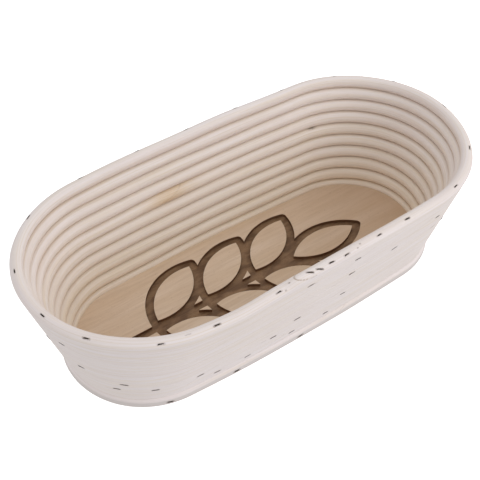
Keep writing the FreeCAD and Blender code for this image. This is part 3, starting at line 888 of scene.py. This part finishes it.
def cane_material():
    """Peeled cane: pale, with fine fibres along it, soft streaks and stains round the staples, and
    painted shade in the joints and on the foot.
    """
    material, tree = empty_material("peeled_cane")
    grain = attribute(tree, "grain", "Vector")
    fibre = noise(tree, stretched(tree, grain, (22, 22, 0.28)), 4.0, 0.6)
    streak = noise(tree, stretched(tree, grain, (60, 60, 1.3), (3, 5, 7)), 2.0, 0.5)
    vein = noise(tree, stretched(tree, grain, (110, 110, 0.8), (1, 6, 2)), 3.0, 0.55)
    cloud = noise(tree, stretched(tree, grain, (45, 45, 7), (11, 2, 4)), 2.0, 0.5)
    pore = noise(tree, stretched(tree, grain, (3.5, 3.5, 0.22), (5, 9, 1)), 1.0, 0.5)

    pale = paint(*CANE_PALE)
    colour = mix(tree, between(tree, streak, 0.40, 0.72, 0.75), pale, paint(*CANE_WARM))
    colour = mix(tree, between(tree, cloud, 0.45, 0.75, 0.6), colour, paint(*CANE_PINK))
    colour = mix(tree, attribute(tree, "skin", "Fac"), colour, paint(*CANE_SKIN), "MULTIPLY")
    colour = mix(tree, between(tree, vein, 0.54, 0.70, 0.45), colour, paint(*CANE_VEIN))
    # painted shade in the crevices between canes, on the inner side
    colour = mix(tree, maths(tree, "MULTIPLY", attribute(tree, "painted_joint_shade", "Fac"), 0.4), colour,
                 paint(*CANE_JOINT_SHADE))
    colour = mix(tree, between(tree, fibre, 0.52, 0.80, 0.35), colour, paint(*CANE_FIBRE))
    colour = mix(tree, between(tree, pore, 0.70, 0.80, 0.30), colour, paint(*CANE_PORE))
    patch = maths(tree, "MULTIPLY", attribute(tree, "patch", "Fac"), between(tree, fibre, 0.2, 0.7))
    colour = mix(tree, maths(tree, "MULTIPLY", patch, 0.9), colour, paint(*CANE_PATCH))
    seam = maths(tree, "MULTIPLY", attribute(tree, "seam", "Fac"), 0.75)
    colour = mix(tree, seam, colour, paint(*CANE_SEAM))
    place = put(tree, "ShaderNodeTexCoord", {}).outputs["Object"]
    height = put(tree, "ShaderNodeSeparateXYZ", {0: place}).outputs[2]
    # painted shade: the foot's upright face is darkened below the cane's middle, to dim the light it
    # catches
    foot = between(tree, height, WALL.foot_height, WALL.foot_height + 2 * FOOT_SHOULDER, 0.0, 0.75)
    colour = mix(tree, foot, colour, paint(*CANE_FOOT_SHADE))
    speckle = noise(tree, stretched(tree, grain, (0.5, 0.5, 0.4)), 2.0, 0.6)
    stain = maths(tree, "MULTIPLY", attribute(tree, "stain", "Fac"), between(tree, speckle, 0.25, 0.6))
    colour = mix(tree, between(tree, stain, 0.05, 0.9), colour, paint(*CANE_STAIN))

    roughness = between(tree, fibre, 0.2, 0.8, 0.72, 0.52)
    height = maths(tree, "ADD", fibre, maths(tree, "MULTIPLY", pore, -0.4))
    finish_material(tree, colour, roughness, height, WOOD_RELIEF)
    return material


def board_material():
    """The base board: straight grained and flecked, darker towards its right end with painted shade,
    and with the carving scorched brown.
    """
    material, tree = empty_material("base_board_wood")
    place = put(tree, "ShaderNodeTexCoord", {}).outputs["Object"]
    band = noise(tree, stretched(tree, place, (180, 9, 30)), 2.0, 0.5, 0.3)
    grain = noise(tree, stretched(tree, place, (26, 1.7, 4), (3, 1, 2)), 4.0, 0.6, 0.2)
    fine = noise(tree, stretched(tree, place, (9, 0.22, 1), (7, 2, 5)), 3.0, 0.6)
    fleck = noise(tree, stretched(tree, place, (2.2, 0.35, 1), (1, 8, 3)), 1.0, 0.5)

    along = put(tree, "ShaderNodeSeparateXYZ", {0: place}).outputs[0]
    # painted shade: the board darkens towards its right end, where the end wall shades it
    right_end_shade = between(tree, along, *BOARD_SHADE_SPAN)
    colour = mix(tree, between(tree, band, 0.35, 0.68), paint(*BOARD_PALE), paint(*BOARD_WARM))
    colour = mix(tree, right_end_shade, colour, paint(*BOARD_SHADE))
    colour = mix(tree, between(tree, grain, 0.42, 0.72, 0.40), colour, paint(*BOARD_GRAIN))
    colour = mix(tree, between(tree, fine, 0.45, 0.75, 0.25), colour, paint(*BOARD_GRAIN))
    colour = mix(tree, between(tree, fleck, 0.68, 0.76, 0.55), colour, paint(*BOARD_FLECK))

    height = put(tree, "ShaderNodeSeparateXYZ", {0: place}).outputs[2]
    scorched, floor = (
        between(tree, height, WALL.board_top - low, WALL.board_top - high, 0.0, 1.0)
        for low, high in (SCORCH_FADE, CARVED_FLOOR))
    burn = noise(tree, stretched(tree, place, (11, 5, 9), (6, 1, 2)), 2.0, 0.5)
    chatter = noise(tree, stretched(tree, place, (1.6, 0.5, 2), (4, 4, 4)), 3.0, 0.6)
    char = mix(tree, between(tree, fine, 0.3, 0.7), paint(*CARVED_DARK), paint(*CARVED_BROWN))
    char = mix(tree, between(tree, burn, 0.38, 0.62, 0.75), char, paint(*CARVED_PALE))
    char = mix(tree, between(tree, chatter, 0.50, 0.72, 0.55), char, paint(*CARVED_WALL))
    char = mix(tree, floor, paint(*CARVED_WALL), char)
    colour = mix(tree, scorched, colour, char)

    roughness = between(tree, fine, 0.2, 0.8, 0.70, 0.50)
    relief = maths(tree, "ADD", fine, maths(tree, "MULTIPLY", grain, 0.6))
    finish_material(tree, colour, roughness, relief, WOOD_RELIEF)
    return material


def staple_material():
    """Blackened wire, rubbed bright in specks and rusted in others."""
    material, tree = empty_material("blackened_wire")
    place = put(tree, "ShaderNodeTexCoord", {}).outputs["Object"]
    scale = noise(tree, stretched(tree, place, (0.7,) * 3), 3.0, 0.6)
    speck = noise(tree, stretched(tree, place, (0.3,) * 3, (2, 3, 4)), 2.0, 0.5)
    colour = mix(tree, between(tree, scale, 0.35, 0.65), paint(*WIRE_BLACK), paint(*WIRE_RUST))
    colour = mix(tree, between(tree, speck, 0.66, 0.78, 0.5), colour, paint(*WIRE_BRIGHT))
    metallic = between(tree, scale, 0.3, 0.6, 0.2, 0.7)
    roughness = between(tree, speck, 0.3, 0.7, 0.7, 0.4)
    finish_material(tree, colour, roughness, scale, WIRE_RELIEF, metallic)
    return material


# ---------------------------------------------------------------------------- camera and lighting

VIEW_AZIMUTH = -35.33            # degrees from straight in front, towards -X
VIEW_ELEVATION = 44.58
VIEW_ROLL = -0.289
VIEW_DISTANCE = 585.0 * MM
VIEW_AIM = (-7.07 * MM, 3.72 * MM)
VIEW_LENS = 74.685               # on a sensor 36 wide

SKY_ABOVE = 0.75                 # brightness straight overhead
SKY_BELOW = 0.72                 # and from the horizon down
FLOOR_GLOW = 0.85
TABLE_SIZE = 8.0
SCREEN_HEIGHT = 4.0              # of the white screen at the table's edge
KEY_STRENGTH = 5.2
KEY_FROM = (0.74, -1.02, 0.68)
KEY_SIZE = 0.8


def make_camera():
    """The camera, turned about the middle of the basket's height."""
    azimuth, elevation, roll = (math.radians(angle)
                                for angle in (VIEW_AZIMUTH, VIEW_ELEVATION, VIEW_ROLL))
    back = Vector((math.sin(azimuth) * math.cos(elevation),
                   -math.cos(azimuth) * math.cos(elevation), math.sin(elevation)))
    level = Vector((math.cos(azimuth), math.sin(azimuth), 0))
    right = math.cos(roll) * level + math.sin(roll) * back.cross(level)
    data = bpy.data.cameras.new("camera")
    data.lens = VIEW_LENS
    data.clip_start = 0.01
    camera = bpy.data.objects.new("camera", data)
    bpy.context.scene.collection.objects.link(camera)
    middle = (CAD_BOUNDS[0].z + CAD_BOUNDS[1].z) / 2
    turn = Matrix((right, back.cross(right), back)).transposed()
    camera.matrix_world = turn.to_4x4()
    camera.location = Vector((*VIEW_AIM, middle)) + back * VIEW_DISTANCE
    bpy.context.scene.camera = camera


def make_backdrop():
    """A wide pale table that glows a little, like a light table, and a white screen round it."""
    material, tree = empty_material("pale_table")
    shader = put(tree, "ShaderNodeBsdfPrincipled", {
        "Base Color": (0.85, 0.85, 0.85, 1), "Roughness": 0.9,
        "Emission Color": (1, 1, 1, 1), "Emission Strength": FLOOR_GLOW})
    put(tree, "ShaderNodeOutputMaterial", {"Surface": shader.outputs[0]})
    half = TABLE_SIZE / 2
    low = CAD_BOUNDS[0].z
    square = [(-half, -half), (half, -half), (half, half), (-half, half)]
    foot = [(x, y, low) for x, y in square]
    top = [(x, y, SCREEN_HEIGHT) for x, y in square]
    stage("table_top", foot, [(0, 1, 2, 3)], material)
    sides = [(side, (side + 1) % 4, (side + 1) % 4 + 4, side + 4) for side in range(4)]
    screen = stage("screen", foot + top, sides, material)
    screen.visible_shadow = False


def stage(name, corners, faces, material):
    """Something to stand the basket on or in front of, which lights nothing."""
    mesh = bpy.data.meshes.new(name)
    mesh.from_pydata(corners, [], faces)
    mesh.materials.append(material)
    piece = bpy.data.objects.new(name, mesh)
    bpy.context.scene.collection.objects.link(piece)
    piece.visible_diffuse = False
    piece.visible_glossy = False
    return piece


def make_lights():
    """White surroundings, brighter overhead, and one large soft lamp up on the right."""
    world = bpy.data.worlds.new("studio")
    world.use_nodes = True
    tree = world.node_tree
    direction = put(tree, "ShaderNodeTexCoord", {}).outputs["Generated"]
    height = put(tree, "ShaderNodeSeparateXYZ", {0: direction}).outputs[2]
    background = tree.nodes["Background"]
    background.inputs["Color"].default_value = (1.0, 1.0, 1.0, 1)
    tree.links.new(between(tree, height, 0.0, 1.0, SKY_ABOVE, SKY_BELOW), background.inputs["Strength"])
    bpy.context.scene.world = world
    data = bpy.data.lights.new("key", "AREA")
    data.size = KEY_SIZE
    data.energy = KEY_STRENGTH
    lamp = bpy.data.objects.new("key", data)
    bpy.context.scene.collection.objects.link(lamp)
    lamp.location = KEY_FROM
    lamp.rotation_mode = "QUATERNION"
    lamp.rotation_quaternion = Vector(KEY_FROM).to_track_quat("Z", "Y")


def make_basket():
    """Every piece with its looks."""
    cane = cane_material()
    wire = staple_material()
    for number in range(1, RINGS + 1):
        make_ring(number, cane)
        make_row(number, wire)
    bpy.data.objects["base_board"].material_slots[0].material = board_material()


make_camera()
make_lights()
make_backdrop()
make_basket()
bpy.context.scene.view_settings.view_transform = "Standard"
